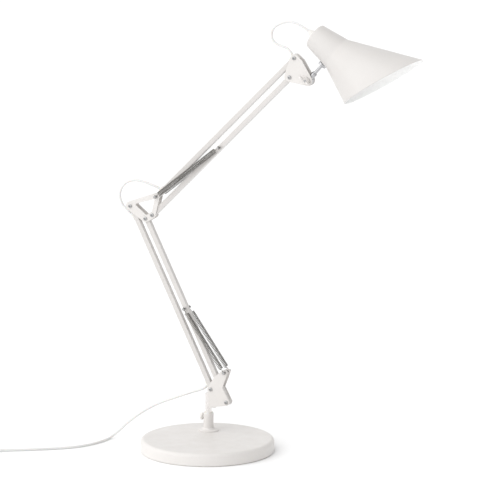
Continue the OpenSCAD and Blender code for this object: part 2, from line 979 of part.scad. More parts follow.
module lamp_holder() {
    wall = 2;
    bore = lamp_thread_d / 2 + 2.6;
    r = holder_d / 2;
    color("#f2f0ec")
        shade_axis()
            translate([0, 0, holder_from])
                difference() {
                    rotate_extrude()
                        polygon([[0, 0], [r - 7, 0], [r - 2, 6], [r - 2, 14], [r, 16], [r, holder_len],
                            [bore, holder_len], [bore, 12 + wall], [0, 12 + wall]]);
                    translate([0, 0, -1])
                        cylinder(h = 5, d = nipple_d);
                    translate([0, 0, 3])
                        cylinder(h = 40, d = 7);
                }
}

module lamp_shell() {
    foot = holder_from + 14;
    r = lamp_thread_d / 2;
    color("#c8a45c")
        shade_axis()
            translate([0, 0, foot])
                difference() {
                    cylinder(h = 24, r = r + 0.8);
                    translate([0, 0, 1.5])
                        cylinder(h = 24, r = r);
                    translate([0, 0, -1])
                        cylinder(h = 4, d = 14);
                }
}

module lamp_contact() {
    color("#c8a45c")
        shade_axis()
            translate([0, 0, holder_from + 13.5]) {
                cylinder(h = 1.2, d = 7);
                cylinder(h = 1.9, d = 5);
            }
}

module lamp_leads() {
    lead_d = 1.8;
    color("#3a3a3c")
        shade_axis()
            for (y = [-1.1, 1.1])
                translate([0, y, 1 - gland_len])
                    cylinder(h = gland_len - 1 + holder_from + 13.5, d = lead_d);
}

module cord_gland() {
    color("#f0eee9")
        shade_axis()
            rotate([180, 0, 0])
                difference() {
                    rotate_extrude()
                        polygon([[0, 0], [7, 0], [7, 5.5], [5, 7], [cord_d / 2 + 1.2, gland_len], [0, gland_len]]);
                    translate([0, 0, -1])
                        cylinder(h = 6.2, d = nipple_d);
                    cylinder(h = gland_len + 1, d = cord_d);
                }
}

// Free cord, its in-line switch, coil, tie and plug.

module supply_cord() {
    color("#f4f2ee")
        cord(supply_route, cord_d, 3);
}

module to_coil_cord() {
    color("#f4f2ee")
        cord(to_coil_route, cord_d, 2);
}

module to_plug_cord() {
    color("#f4f2ee")
        cord(to_plug_route, cord_d, 2);
}

module at_switch() {
    translate([switch_at[0], switch_at[1], 0])
        rotate([0, 0, switch_turn])
            children();
}

module switch_outline(inset) {
    w = switch_size[1] - 2 * inset;
    l = switch_size[0] - 2 * inset;
    oval(l - w, w);
}

module switch_case() {
    color("#f0eee9")
        at_switch()
            difference() {
                union() {
                    linear_extrude(switch_size[2] - 2)
                        switch_outline(0);
                    linear_extrude(switch_size[2])
                        switch_outline(2);
                }
                translate([-rocker_size[0] / 2 - side_gap, -rocker_size[1] / 2 - side_gap, rocker_z - 3.4])
                    cube([rocker_size[0] + 2 * side_gap, rocker_size[1] + 2 * side_gap, 20]);
                rocker_axle(rocker_size[1] + 2 * side_gap + 3, axle_d + 2 * run_gap);
            }
}

axle_d = 2.4;

module rocker_axle(long, d) {
    translate([0, long / 2, rocker_z])
        rotate([90, 0, 0])
            cylinder(h = long, d = d);
}

// The rocker's top is a shallow V about its pivot, so one end always stands proud.
module switch_rocker() {
    reach = rocker_size[0] / 2 - 1;
    color("#e8e6e1")
        at_switch() {
            translate([0, rocker_size[1] / 2, rocker_z])
                rotate([90, 0, 0])
                    linear_extrude(rocker_size[1])
                        polygon([[-reach + 1, -2], [reach - 1, -2], [reach, 7.5], [0, 5.5], [-reach, 7.5]]);
            rocker_axle(rocker_size[1] + 2 * side_gap + 2, axle_d);
        }
}

module cord_coil() {
    w = coil_turns_wide * cord_d;
    h = coil_turns_high * cord_d;
    color("#f4f2ee")
        translate([coil_at[0], coil_at[1], 0])
            rotate_extrude()
                translate([coil_mid - w / 2, 0])
                    square([w, h]);
}

module coil_tie() {
    w = coil_turns_wide * cord_d + 2 * fit_gap;
    h = coil_turns_high * cord_d;
    t = 1;
    color("#d9d9d9")
        translate([coil_at[0], coil_at[1], 0])
            rotate([0, 0, -64])
                translate([coil_mid - w / 2 - t, -tie_w / 2, 0])
                    difference() {
                        cube([w + 2 * t, tie_w, h + t]);
                        translate([t, -1, -1])
                            cube([w, tie_w + 2, h + 1]);
                    }
}

module at_plug() {
    translate([plug_at[0], plug_at[1], 0])
        rotate([0, 0, plug_turn])
            children();
}

module plug_boot() {
    color("#f0eee9")
        at_plug()
            translate([-4, 0, 0])
                intersection() {
                    translate([0, 0, boot_z])
                        rotate([0, 90, 0])
                            difference() {
                                cylinder(h = boot_len, d1 = cord_d + 2.4, d2 = 10);
                                translate([0, 0, -1])
                                    cylinder(h = 5, d = cord_d);
                            }
                    translate([0, -10, 0])
                        cube([boot_len, 20, 20]);
                }
}

module plug() {
    l = plug_body[0];
    w = plug_body[1];
    color("#f0eee9")
        at_plug()
            translate([boot_len - 4, 0, 0])
                linear_extrude(plug_body[2])
                    polygon([[0, -8], [8, -w / 2 + 2], [l - 4, -w / 2], [l, -w / 2 + 4], [l, w / 2 - 4],
                        [l - 4, w / 2], [8, w / 2 - 2], [0, 8]]);
}

module plug_pins() {
    color("#c9cbcc")
        at_plug()
            for (y = [-1, 1])
                translate([boot_len - 4 + plug_body[0], y * plug_pin_pitch / 2, plug_body[2] / 2])
                    rotate([0, 90, 0])
                        cylinder(h = plug_pin_len, d = plug_pin_d);
}

base_cover();
base_weight();
base_pad();
base_socket();
socket_bush();
socket_washer();
socket_nut();
thumb_screw();
pivot_pin();
fork_bracket();
fork_screws();
fork_nuts();
fork_spacers();
fork_spring_studs();
lower_rear_tube();
lower_front_tube();
lower_tube_plugs();
lower_front_plugs();
lower_cord_grommets();
lower_spring_pin();
lower_springs();
elbow_plates();
elbow_screws();
elbow_nuts();
elbow_spacers();
upper_front_tube();
upper_rear_tube();
upper_front_plugs();
upper_tube_plugs();
upper_cord_grommets();
upper_spring_pin();
upper_springs();
head_plates();
head_screws();
head_nuts();
head_spacers();
tilt_bolt();
wing_nut();
tilt_block();
shade_stem();
stem_nut();
shade();
holder_nipple();
lamp_holder();
lamp_shell();
lamp_contact();
lamp_leads();
cord_gland();
lower_arm_cord();
upper_arm_cord();
supply_cord();
switch_case();
switch_rocker();
to_coil_cord();
cord_coil();
coil_tie();
to_plug_cord();
plug_boot();
plug();
plug_pins();
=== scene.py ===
import json
import math

import bmesh
import bpy
import numpy as np
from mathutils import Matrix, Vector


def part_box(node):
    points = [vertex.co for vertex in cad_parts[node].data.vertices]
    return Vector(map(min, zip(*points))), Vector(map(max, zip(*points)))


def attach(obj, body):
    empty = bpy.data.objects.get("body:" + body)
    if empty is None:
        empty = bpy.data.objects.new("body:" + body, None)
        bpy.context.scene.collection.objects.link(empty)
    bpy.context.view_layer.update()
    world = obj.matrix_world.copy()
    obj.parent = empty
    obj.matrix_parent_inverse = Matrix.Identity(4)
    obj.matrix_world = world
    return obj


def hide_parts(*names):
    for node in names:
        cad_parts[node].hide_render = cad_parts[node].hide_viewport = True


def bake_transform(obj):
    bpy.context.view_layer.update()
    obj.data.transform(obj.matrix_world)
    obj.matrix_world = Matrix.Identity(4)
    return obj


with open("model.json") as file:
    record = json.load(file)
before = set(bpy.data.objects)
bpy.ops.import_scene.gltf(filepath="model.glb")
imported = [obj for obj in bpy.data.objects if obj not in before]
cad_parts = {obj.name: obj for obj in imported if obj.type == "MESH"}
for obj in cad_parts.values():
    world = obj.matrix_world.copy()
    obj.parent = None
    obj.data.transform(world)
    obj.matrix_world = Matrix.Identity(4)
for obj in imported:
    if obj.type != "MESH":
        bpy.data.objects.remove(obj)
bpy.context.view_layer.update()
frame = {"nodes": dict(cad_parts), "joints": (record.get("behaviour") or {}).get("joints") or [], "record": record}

nodes = frame["nodes"]
joint_at = {joint["name"]: np.array(joint["pos_m"]) for joint in frame["joints"]}


# ---- Base cover ----
# A pressed steel cover, spray-painted with a pale warm-white powder and baked. It drops over the
# cast weight and its rolled edge stops just above the foam pad.

def add_node(tree, kind, inputs=None, **settings):
    """A shader node of that kind. Each input is a value, or the socket that feeds it."""
    made = tree.nodes.new("ShaderNode" + kind)
    for key, value in settings.items():
        setattr(made, key, value)
    for key, value in (inputs or {}).items():
        if isinstance(value, bpy.types.NodeSocket):
            tree.links.new(value, made.inputs[key])
        else:
            made.inputs[key].default_value = value
    return made


def sum_of(tree, operation, a, b, clamp=False):
    """The result of one arithmetic step on two values."""
    return add_node(tree, "Math", {0: a, 1: b}, operation=operation, use_clamp=clamp).outputs[0]


def mixed(tree, share, a, b):
    """Colour a turning into colour b as share goes from 0 to 1."""
    made = add_node(tree, "Mix", {0: share, 6: a, 7: b}, data_type="RGBA")
    return made.outputs[2]


def ramped(tree, value, low, high, to_low=0.0, to_high=1.0):
    """The value stretched so that low to high becomes to_low to to_high, and held at both ends."""
    inputs = {"Value": value, "From Min": low, "From Max": high, "To Min": to_low, "To Max": to_high}
    return add_node(tree, "MapRange", inputs).outputs[0]


def effect_group(name, takes, gives):
    """An empty shader node group with those named inputs and their values, and those named outputs."""
    tree = bpy.data.node_groups.new(name, "ShaderNodeTree")
    for label, (kind, value) in takes.items():
        socket = tree.interface.new_socket(label, in_out="INPUT", socket_type="NodeSocket" + kind)
        socket.default_value = value
    for label, kind in gives.items():
        tree.interface.new_socket(label, in_out="OUTPUT", socket_type="NodeSocket" + kind)
    return tree, tree.nodes.new("NodeGroupInput").outputs, tree.nodes.new("NodeGroupOutput").inputs


def use_group(tree, group, **values):
    """Places a group in a material. An input's name is written with _ for each space."""
    inputs = {label.replace("_", " "): value for label, value in values.items()}
    made = tree.nodes.new("ShaderNodeGroup")
    made.node_tree = group
    for key, value in inputs.items():
        if isinstance(value, bpy.types.NodeSocket):
            tree.links.new(value, made.inputs[key])
        else:
            made.inputs[key].default_value = value
    return made.outputs


def grain_effect():
    """Skin of paint or plastic: broad noise drifts between two colours, a middle noise shifts the
    roughness either way, and height is a fine noise with a few sunken specks."""
    tree, given, out = effect_group(
        "surface_grain",
        {"Colour": ("Color", (0.8, 0.8, 0.8, 1)), "Drift Colour": ("Color", (0.7, 0.7, 0.7, 1)),
         "Patch Size": ("Float", 0.08), "Grain Size": ("Float", 0.001),
         "Roughness": ("Float", 0.5), "Roughness Spread": ("Float", 0.05)},
        {"Colour": "Color", "Roughness": "Float", "Height": "Float"})
    place = add_node(tree, "TexCoord").outputs["Object"]
    patch_scale = sum_of(tree, "DIVIDE", 1.0, given["Patch Size"])
    grain_scale = sum_of(tree, "DIVIDE", 1.0, given["Grain Size"])
    patch = add_node(tree, "TexNoise", {"Vector": place, "Scale": patch_scale, "Detail": 3.0}).outputs[0]
    grain = add_node(tree, "TexNoise", {"Vector": place, "Scale": grain_scale, "Detail": 2.0}).outputs[0]
    middle_scale = sum_of(tree, "MULTIPLY", patch_scale, 6.0)
    middle = add_node(tree, "TexNoise", {"Vector": place, "Scale": middle_scale, "Detail": 2.0}).outputs[0]
    speck_scale = sum_of(tree, "DIVIDE", grain_scale, 6.0)
    speck = add_node(tree, "TexVoronoi", {"Vector": place, "Scale": speck_scale}).outputs["Distance"]
    pit = ramped(tree, speck, 0.05, 0.11, 0.0, 1.0)
    share = ramped(tree, patch, 0.35, 0.68)
    drifted = mixed(tree, share, given["Colour"], given["Drift Colour"])
    darker = mixed(tree, ramped(tree, grain, 0.3, 0.7, 0.0, 0.06), drifted, (0.25, 0.24, 0.23, 1))
    tree.links.new(darker, out["Colour"])
    swing = sum_of(tree, "MULTIPLY", ramped(tree, middle, 0.3, 0.7, -1.0, 1.0), given["Roughness Spread"])
    tree.links.new(sum_of(tree, "ADD", given["Roughness"], swing, clamp=True), out["Roughness"])
    tree.links.new(sum_of(tree, "MULTIPLY", grain, pit), out["Height"])
    return tree


def dust_effect():
    """Dust lies where the surface faces up: mask = upward part of the normal times a soft noise."""
    tree, given, out = effect_group(
        "settled_dust",
        {"Colour": ("Color", (0.8, 0.8, 0.8, 1)), "Roughness": ("Float", 0.5),
         "Dust Colour": ("Color", (0.62, 0.58, 0.53, 1)), "Amount": ("Float", 0.1)},
        {"Colour": "Color", "Roughness": "Float"})
    coordinates = add_node(tree, "TexCoord")
    up = add_node(tree, "SeparateXYZ", {0: coordinates.outputs["Normal"]}).outputs["Z"]
    drift = add_node(tree, "TexNoise", {"Vector": coordinates.outputs["Object"], "Scale": 45.0,
                                        "Detail": 4.0}).outputs[0]
    lying = sum_of(tree, "MULTIPLY", ramped(tree, up, 0.35, 0.95), ramped(tree, drift, 0.35, 0.7))
    mask = sum_of(tree, "MULTIPLY", lying, given["Amount"], clamp=True)
    tree.links.new(mixed(tree, mask, given["Colour"], given["Dust Colour"]), out["Colour"])
    tree.links.new(sum_of(tree, "ADD", given["Roughness"], mask, clamp=True), out["Roughness"])
    return tree


surface_grain = grain_effect()
settled_dust = dust_effect()


def new_finish(name, **constants):
    """A material with one Principled shader, whose constant values are set on its own sockets."""
    material = bpy.data.materials.new(name)
    material.use_nodes = True
    tree = material.node_tree
    shader = tree.nodes["Principled BSDF"]
    for key, value in constants.items():
        shader.inputs[key.replace("_", " ")].default_value = value
    return material, tree, shader


def bump_into(tree, shader, height, strength, distance):
    """Feeds a height to the shader's normal through one Bump node, with its depth in metres."""
    bump = add_node(tree, "Bump", {"Height": height, "Strength": strength, "Distance": distance})
    tree.links.new(bump.outputs[0], shader.inputs["Normal"])


def coated_finish(name, colour, drift, roughness, patch, grain, relief, dust=0.1, **constants):
    """Paint or plastic: surface_grain with settled_dust over it, and the grain's height as bump."""
    material, tree, shader = new_finish(name, **constants)
    skin = use_group(tree, surface_grain, Colour=(*colour, 1), Drift_Colour=(*drift, 1),
                     Patch_Size=patch, Grain_Size=grain, Roughness=roughness, Roughness_Spread=0.05)
    top = use_group(tree, settled_dust, Colour=skin["Colour"], Roughness=skin["Roughness"], Amount=dust)
    tree.links.new(top["Colour"], shader.inputs["Base Color"])
    tree.links.new(top["Roughness"], shader.inputs["Roughness"])
    bump_into(tree, shader, skin["Height"], 0.35, relief)
    return material


def give(material, *names):
    """Puts a material on CAD nodes, in their objects' own slots."""
    for name in names:
        nodes[name].material_slots[0].material = material


white_paint = coated_finish("white_powder_paint", (0.745, 0.72, 0.7), (0.725, 0.7, 0.678), 0.36,
                            0.09, 0.0011, 0.0002, IOR=1.5, Coat_Weight=0.12, Coat_Roughness=0.2)
give(white_paint, "base_cover")


# ---- Base weight and pad ----
# The weight is a rough casting left as it comes from the sand. The pad is a disc of closed-cell
# foam glued under it, so the base grips the desk.

def cast_iron():
    """Sand-cast grey iron: lumpy noise for colour and relief, and nearly no gloss."""
    material, tree, shader = new_finish("sand_cast_iron", Metallic=0.6)
    place = add_node(tree, "TexCoord").outputs["Object"]
    lumps = add_node(tree, "TexNoise", {"Vector": place, "Scale": 220.0, "Detail": 6.0}).outputs[0]
    rust = add_node(tree, "TexNoise", {"Vector": place, "Scale": 30.0, "Detail": 3.0}).outputs[0]
    colour = mixed(tree, ramped(tree, rust, 0.45, 0.7), (0.075, 0.075, 0.08, 1), (0.11, 0.085, 0.07, 1))
    tree.links.new(colour, shader.inputs["Base Color"])
    tree.links.new(ramped(tree, lumps, 0.3, 0.7, 0.55, 0.8), shader.inputs["Roughness"])
    bump_into(tree, shader, lumps, 0.6, 0.0004)
    return material


def cell_foam():
    """Closed-cell foam: Voronoi cells for the relief, and a darker colour in each cell's hollow, where the relief
    is lowest: painted shade in the pits.
    """
    material, tree, shader = new_finish("cell_foam")
    place = add_node(tree, "TexCoord").outputs["Object"]
    cells = add_node(tree, "TexVoronoi", {"Vector": place, "Scale": 900.0}).outputs["Distance"]
    # Darker where the cells' relief is lowest: painted shade in the pits.
    share = ramped(tree, cells, 0.1, 0.7)
    colour = mixed(tree, share, (0.52, 0.5, 0.47, 1), (0.66, 0.64, 0.6, 1))
    tree.links.new(colour, shader.inputs["Base Color"])
    tree.links.new(ramped(tree, cells, 0.0, 0.8, 0.95, 0.8), shader.inputs["Roughness"])
    bump_into(tree, shader, cells, 0.5, 0.0003)
    return material


give(cast_iron(), "base_weight")
give(cell_foam(), "base_pad")


# ---- Socket, washer and nut ----
# A turned steel socket painted like the base. Its threaded shank goes through the weight and is
# held by a zinc-plated washer and nut. A nylon bush inside carries the pin.

def lines_effect():
    """Lines left by drawing or turning metal: a noise stretched by the Stretch input, far finer along
    one axis than along the others, drives the colour, the roughness and the height."""
    tree, given, out = effect_group(
        "tool_lines",
        {"Colour": ("Color", (0.6, 0.6, 0.6, 1)), "Line Colour": ("Color", (0.4, 0.4, 0.4, 1)),
         "Stretch": ("Vector", (60.0, 60.0, 2500.0)), "Roughness": ("Float", 0.3),
         "Roughness Spread": ("Float", 0.08)},
        {"Colour": "Color", "Roughness": "Float", "Height": "Float"})
    place = add_node(tree, "TexCoord").outputs["Object"]
    stretched = add_node(tree, "VectorMath", {0: place, 1: given["Stretch"]},
                         operation="MULTIPLY").outputs[0]
    lines = add_node(tree, "TexNoise", {"Vector": stretched, "Scale": 1.0, "Detail": 3.0}).outputs[0]
    stain = add_node(tree, "TexNoise", {"Vector": place, "Scale": 160.0, "Detail": 3.0}).outputs[0]
    share = sum_of(tree, "MULTIPLY", ramped(tree, lines, 0.35, 0.7), ramped(tree, stain, 0.3, 0.7, 0.6, 1.0))
    tree.links.new(mixed(tree, share, given["Colour"], given["Line Colour"]), out["Colour"])
    swing = sum_of(tree, "MULTIPLY", ramped(tree, stain, 0.3, 0.7, -1.0, 1.0), given["Roughness Spread"])
    tree.links.new(sum_of(tree, "ADD", given["Roughness"], swing, clamp=True), out["Roughness"])
    tree.links.new(lines, out["Height"])
    return tree


tool_lines = lines_effect()


def metal_finish(name, colour, line, roughness, stretch, relief=0.00002, **constants):
    """Bare or plated metal: tool_lines for colour, roughness and a very low relief."""
    material, tree, shader = new_finish(name, Metallic=1.0, **constants)
    worked = use_group(tree, tool_lines, Colour=(*colour, 1), Line_Colour=(*line, 1),
                       Stretch=stretch, Roughness=roughness)
    tree.links.new(worked["Colour"], shader.inputs["Base Color"])
    tree.links.new(worked["Roughness"], shader.inputs["Roughness"])
    bump_into(tree, shader, worked["Height"], 0.3, relief)
    return material


plated_steel = metal_finish("zinc_plated_steel", (0.62, 0.62, 0.61), (0.5, 0.5, 0.5), 0.34,
                            (900, 900, 900))
nylon = coated_finish("natural_nylon", (0.8, 0.79, 0.76), (0.75, 0.74, 0.7), 0.42, 0.02, 0.0006, 0.0001,
                      Subsurface_Weight=0.1, Subsurface_Scale=0.002)
give(white_paint, "base_socket")
give(nylon, "socket_bush")
give(plated_steel, "socket_washer", "socket_nut")


# ---- Thumb screw ----
# A moulded knob on a steel screw, turned by hand to clamp the pin at one height and heading.

white_plastic = coated_finish("white_moulded_plastic", (0.84, 0.825, 0.8), (0.81, 0.795, 0.77), 0.33,
                              0.03, 0.0007, 0.00012, IOR=1.49)
give(white_plastic, "thumb_screw")


# ---- Pivot pin ----
# Bright drawn steel, turned at the top where it is riveted into the fork's web.

pin_steel = metal_finish("turned_bright_steel", (0.86, 0.835, 0.815), (0.74, 0.71, 0.69), 0.24,
                         (50, 50, 2600))
give(pin_steel, "pivot_pin")


# ---- Fork ----
# Two pressed plates on a welded web, painted with the arms. Their edges are rolled a little by the
# press, so each plate's edge is rounded here.

def softened(name, width, new_name, material, body, segments=2):
    """A copy of a CAD node with its corners joined and its sharp edges rounded by a Bevel modifier."""
    mesh = nodes[name].data.copy()
    work = bmesh.new()
    work.from_mesh(mesh)
    bmesh.ops.remove_doubles(work, verts=work.verts, dist=1e-6)
    bmesh.ops.dissolve_limit(work, angle_limit=math.radians(0.4), verts=work.verts, edges=work.edges)
    work.to_mesh(mesh)
    work.free()
    if mesh.attributes.get("custom_normal"):
        mesh.attributes.remove(mesh.attributes["custom_normal"])
    mesh.shade_smooth()
    piece = bpy.data.objects.new(new_name, mesh)
    bpy.context.scene.collection.objects.link(piece)
    mesh.materials.clear()
    mesh.materials.append(material)
    bevel = piece.modifiers.new("rolled_edges", "BEVEL")
    bevel.width = width
    bevel.segments = segments
    bevel.limit_method = "ANGLE"
    bevel.angle_limit = math.radians(32)
    bevel.harden_normals = True
    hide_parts(name)
    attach(piece, body)
    return piece


def piece_from(name, parts, material):
    """One object from several (points, faces) parts, smooth except where faces meet sharply."""
    points, faces, count = [], [], 0
    for part_points, part_faces in parts:
        points.append(part_points)
        faces += [[count + k for k in face] for face in part_faces]
        count += len(part_points)
    mesh = bpy.data.meshes.new(name)
    mesh.from_pydata(np.concatenate(points), [], faces)
    mesh.update()
    mesh.shade_smooth()
    mesh.set_sharp_from_angle(angle=math.radians(42))
    mesh.materials.append(material)
    piece = bpy.data.objects.new(name, mesh)
    bpy.context.scene.collection.objects.link(piece)
    return piece


def grid_faces(rows, columns):
    """Quads of a grid whose columns close on themselves, with one flat face closing each end."""
    i, j = np.meshgrid(np.arange(rows - 1), np.arange(columns), indexing="ij")
    after = (j + 1) % columns
    quads = np.stack([i * columns + j, i * columns + after, (i + 1) * columns + after,
                      (i + 1) * columns + j], -1).reshape(-1, 4)
    caps = [list(range(columns - 1, -1, -1)), list(range((rows - 1) * columns, rows * columns))]
    return quads.tolist() + caps


def turned_part(profile, origin, axis, sides=40, dip=None):
    """A lathe shape: point = origin + axis along + radius (cos a first + sin a second), for each
    (along, radius) of the profile. dip(radius, a, along) moves a point along the axis, for a recess."""
    axis = np.asarray(axis, float)
    first = np.cross(axis, (0.31, 0.17, 0.93) if abs(axis[2]) < 0.9 else (1.0, 0.0, 0.0))
    first /= np.linalg.norm(first)
    second = np.cross(axis, first)
    along, radius = (np.asarray(column, float)[:, None] for column in zip(*profile))
    a = np.linspace(0, 2 * np.pi, sides, endpoint=False)[None, :]
    along = along + (dip(radius, a, along) if dip else 0 * a)
    points = (np.asarray(origin, float) + along[..., None] * axis
              + radius[..., None] * (np.cos(a)[..., None] * first + np.sin(a)[..., None] * second))
    return points.reshape(-1, 3), grid_faces(len(profile), sides)


def cross_recess(radius, a, along):
    """A cross driver's recess: each arm is a slot whose depth falls off with the distance from the
    screw's middle, and only the head's top goes down."""
    arm = np.minimum(abs(radius * np.sin(a)), abs(radius * np.cos(a)))
    wall = np.clip((0.00055 - arm) / 0.0002, 0, 1)
    reach = np.clip((0.0023 - radius) / 0.0008, 0, 1)
    return np.where(along < 0.0012, 0.0013 * wall * reach, 0.0)


def pan_screw(place, first_side, last_side, shank, head):
    """A pan-head screw across the arm at a place: domed head of arcs, shank and chamfered end."""
    tall = 0.0024
    t = np.linspace(0, 1, 18)
    dome = [(0.0009 * (u ** 3), head * u * 0.97) for u in t[1:]]
    rim = [(0.0012, head), (tall, head), (tall, shank)]
    long = last_side - first_side + tall
    end = [(long - 0.0004, shank), (long, shank - 0.0004), (long, 0.0001)]
    origin = (place[0], first_side - tall, place[2])
    return turned_part([(0.0, 0.0001)] + dome + rim + end, origin, (0, 1, 0), 48, cross_recess)


softened("fork_bracket", 0.0004, "fork_pressing", white_paint, "fork")
screw_steel = metal_finish("nickel_plated_screws", (0.5, 0.5, 0.5), (0.36, 0.36, 0.36), 0.22,
                           (700, 2400, 700))
give(nylon, "fork_spacers")
give(screw_steel, "fork_nuts", "fork_spring_studs")

# Each arm is a parallelogram, so its two pivots lie equally far apart at both of its ends.
lower_step = joint_at["lower_front_pivot"] - joint_at["lower_arm_lift"]
upper_step = joint_at["upper_arm_lift"] - joint_at["upper_front_pivot"]
pivots = {
    "fork": [joint_at["lower_arm_lift"], joint_at["lower_front_pivot"]],
    "elbow": [joint_at["elbow_level"], joint_at["elbow_level"] + lower_step, joint_at["upper_front_pivot"]],
    "head": [joint_at["head_level"] - upper_step, joint_at["head_level"]]}
plate_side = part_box("fork_bracket")[1][1]
nut_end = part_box("fork_nuts")[1][1]


screw_radius = 0.0025
screw_head_radius = 0.00375
past_nut = 0.0005


def pivot_screws(body):
    """All pan-head screws of one bracket, from its near plate to just past the end of their nuts."""
    parts = [pan_screw(place, -plate_side, nut_end + past_nut, screw_radius, screw_head_radius)
             for place in pivots[body]]
    return piece_from(body + "_pan_screws", parts, screw_steel)


screws = pivot_screws("fork")
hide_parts("fork_screws")
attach(screws, "fork")


# ---- Arm tubes ----
# Square steel tube, drawn and painted, with moulded plugs pushed into its cut ends and a grommet
# wherever the cord goes in or out.

# The same white paint, made darker for the arm tubes and the shade: painted shade for the lesser light that falls
# on them.
shaded_white_paint = coated_finish("white_paint_with_painted_shade", (0.665, 0.643, 0.625), (0.645, 0.622, 0.603), 0.34, 0.07,
                            0.001, 0.00015, IOR=1.5, Coat_Weight=0.12, Coat_Roughness=0.18)
give(shaded_white_paint, "lower_rear_tube", "lower_front_tube", "upper_front_tube", "upper_rear_tube")
give(white_plastic, "lower_tube_plugs", "lower_front_plugs", "upper_front_plugs", "upper_tube_plugs")
give(nylon, "lower_cord_grommets", "upper_cord_grommets")
give(screw_steel, "lower_spring_pin", "upper_spring_pin")


# ---- Springs ----
# Steel wire wound with open turns, the last turn at each end drawn out into a hook over a pin.
# Each arm hangs on a pair, one spring on each side.

def tube_grid(line, radius, side_hint, sides=12):
    """A circle carried along a line of points: point = centre + radius (cos a side + sin a other),
    where side is the hint with its part along the line taken away. radius may change along it."""
    line = np.asarray(line, float)
    ahead = np.gradient(line, axis=0)
    ahead /= np.linalg.norm(ahead, axis=1, keepdims=True)
    side = np.broadcast_to(side_hint, line.shape)
    side = side - (side * ahead).sum(1, keepdims=True) * ahead
    side /= np.linalg.norm(side, axis=1, keepdims=True)
    other = np.cross(ahead, side)
    a = np.linspace(0, 2 * np.pi, sides, endpoint=False)[None, :, None]
    reach = np.broadcast_to(radius, len(line))[:, None, None]
    points = line[:, None] + reach * (np.cos(a) * side[:, None] + np.sin(a) * other[:, None])
    return points.reshape(-1, 3)


def tube_part(line, radius, side_hint, sides=12):
    """The points and faces of a tube along a line, closed at both ends."""
    points = tube_grid(line, radius, side_hint, sides)
    return points, grid_faces(len(line), sides)


wire = 0.0014
spring_outside = 0.0095
spring_turn = 0.0026
hook_reach = 0.009
spring_side = 0.0112
pin_ring = 0.0026


def spring_parts(start, end, across, ring):
    """One spring from pin to pin. The coil is a helix: centre + r (cos a up + sin a across) + a pitch.
    Each hook is a plane curve: a straight shank and a loop of 300 degrees round its pin."""
    start, end = np.array([start[0], across, start[1]]), np.array([end[0], across, end[1]])
    run = np.linalg.norm(end - start)
    lie = (end - start) / run
    y = np.array([0.0, 1.0, 0.0])
    up = np.cross(lie, y)
    r = (spring_outside - wire) / 2
    body = run - 2 * hook_reach - wire
    turns = round(body / spring_turn)
    a = np.linspace(0, 2 * np.pi * turns, turns * 20 + 1)[:, None]
    centre = start + lie * (hook_reach + wire / 2 + body * a / a[-1])
    coil = centre + r * (np.cos(a) * up + np.sin(a) * y)
    tube = tube_grid(coil, wire / 2, lie, 8)
    parts = [(tube, grid_faces(len(coil), 8))]
    loop = np.radians(np.linspace(-120, 165, 24))[:, None]
    for foot, way in ((start, lie), (end, -lie)):
        bend = foot - way * ring * np.cos(loop) + up * ring * np.sin(loop)
        neck = foot + way * (hook_reach - 0.0015)
        shoulder = foot + way * (hook_reach + wire / 2) + up * r
        middle = foot + way * (ring + 0.002) + up * 0.0004
        way_in = np.array([shoulder, (shoulder + neck) / 2 + way * 0.0005, neck, (neck + middle) / 2, middle])
        parts.append(tube_part(np.concatenate([way_in, bend[::-1]]), wire / 2, y, 8))
    return parts


# The spring steel's colour is made dark to stand in for dark reflections and the shade between the turns: painted
# reflection and shade.
spring_steel = metal_finish("spring_steel_painted_dark", (0.3, 0.29, 0.275), (0.17, 0.165, 0.155), 0.16,
                            (1200, 1200, 1200))


def middle_of(name):
    """The middle of a CAD node's box."""
    low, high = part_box(name)
    return (low + high) / 2


def spring_pair(name, node, material, low_pin, high_pin):
    """Both springs of an arm as one piece, from the low pin to the high pin,
    with its transform baked in."""
    ends = [(p[0], p[2]) for p in (low_pin, high_pin)]
    parts = [part for side in (-spring_side, spring_side)
             for part in spring_parts(*ends, side, pin_ring)]
    piece = piece_from(name, parts, material)
    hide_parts(node)
    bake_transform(piece)


spring_pair("lower_coil_springs", "lower_springs", spring_steel, middle_of("fork_spring_studs"),
            middle_of("lower_spring_pin"))


# ---- Elbow ----
# Two pressed plates with a window cut between the four pivots. The long screw at the top pivot
# also carries the upper arm's springs.

softened("elbow_plates", 0.0004, "elbow_pressings", white_paint, "elbow")
give(nylon, "elbow_spacers")
give(screw_steel, "elbow_nuts")

elbow_top_pivot = joint_at["upper_arm_lift"]


def grooved_pin(place, reach, radius, groove_at):
    """A pin across the arm with chamfered ends and a groove near each end for a spring's hook."""
    half = [(reach, 0.0001), (reach, radius - 0.0004), (reach - 0.0004, radius),
            (groove_at + 0.0009, radius), (groove_at + 0.0005, radius - 0.0005),
            (groove_at - 0.0005, radius - 0.0005), (groove_at - 0.0009, radius)]
    profile = [(-along, r) for along, r in half] + half[::-1]
    return turned_part(profile, place, (0, 1, 0))


pin_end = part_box("elbow_screws")[1][1]
screws = pivot_screws("elbow")
long_pin = piece_from("elbow_spring_pin", [grooved_pin(elbow_top_pivot, pin_end, screw_radius, spring_side)],
                      screw_steel)
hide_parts("elbow_screws")
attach(screws, "elbow")
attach(long_pin, "elbow")
spring_pair("upper_coil_springs", "upper_springs", spring_steel, elbow_top_pivot,
            middle_of("upper_spring_pin"))


# ---- Head ----
# Two more pressed plates hold both tubes and the tilt bolt, which a wing nut clamps.

softened("head_plates", 0.0004, "head_pressings", white_paint, "head")
screws = pivot_screws("head")
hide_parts("head_screws")
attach(screws, "head")
give(nylon, "head_spacers")
give(screw_steel, "head_nuts", "tilt_bolt")
softened("wing_nut", 0.0007, "cast_wing_nut", white_paint, "wing_nut", 3)
chromed = metal_finish("chromed_steel", (0.52, 0.52, 0.53), (0.4, 0.4, 0.41), 0.08, (300, 300, 300), 0.000005)
give(chromed, "tilt_block", "shade_stem", "stem_nut")
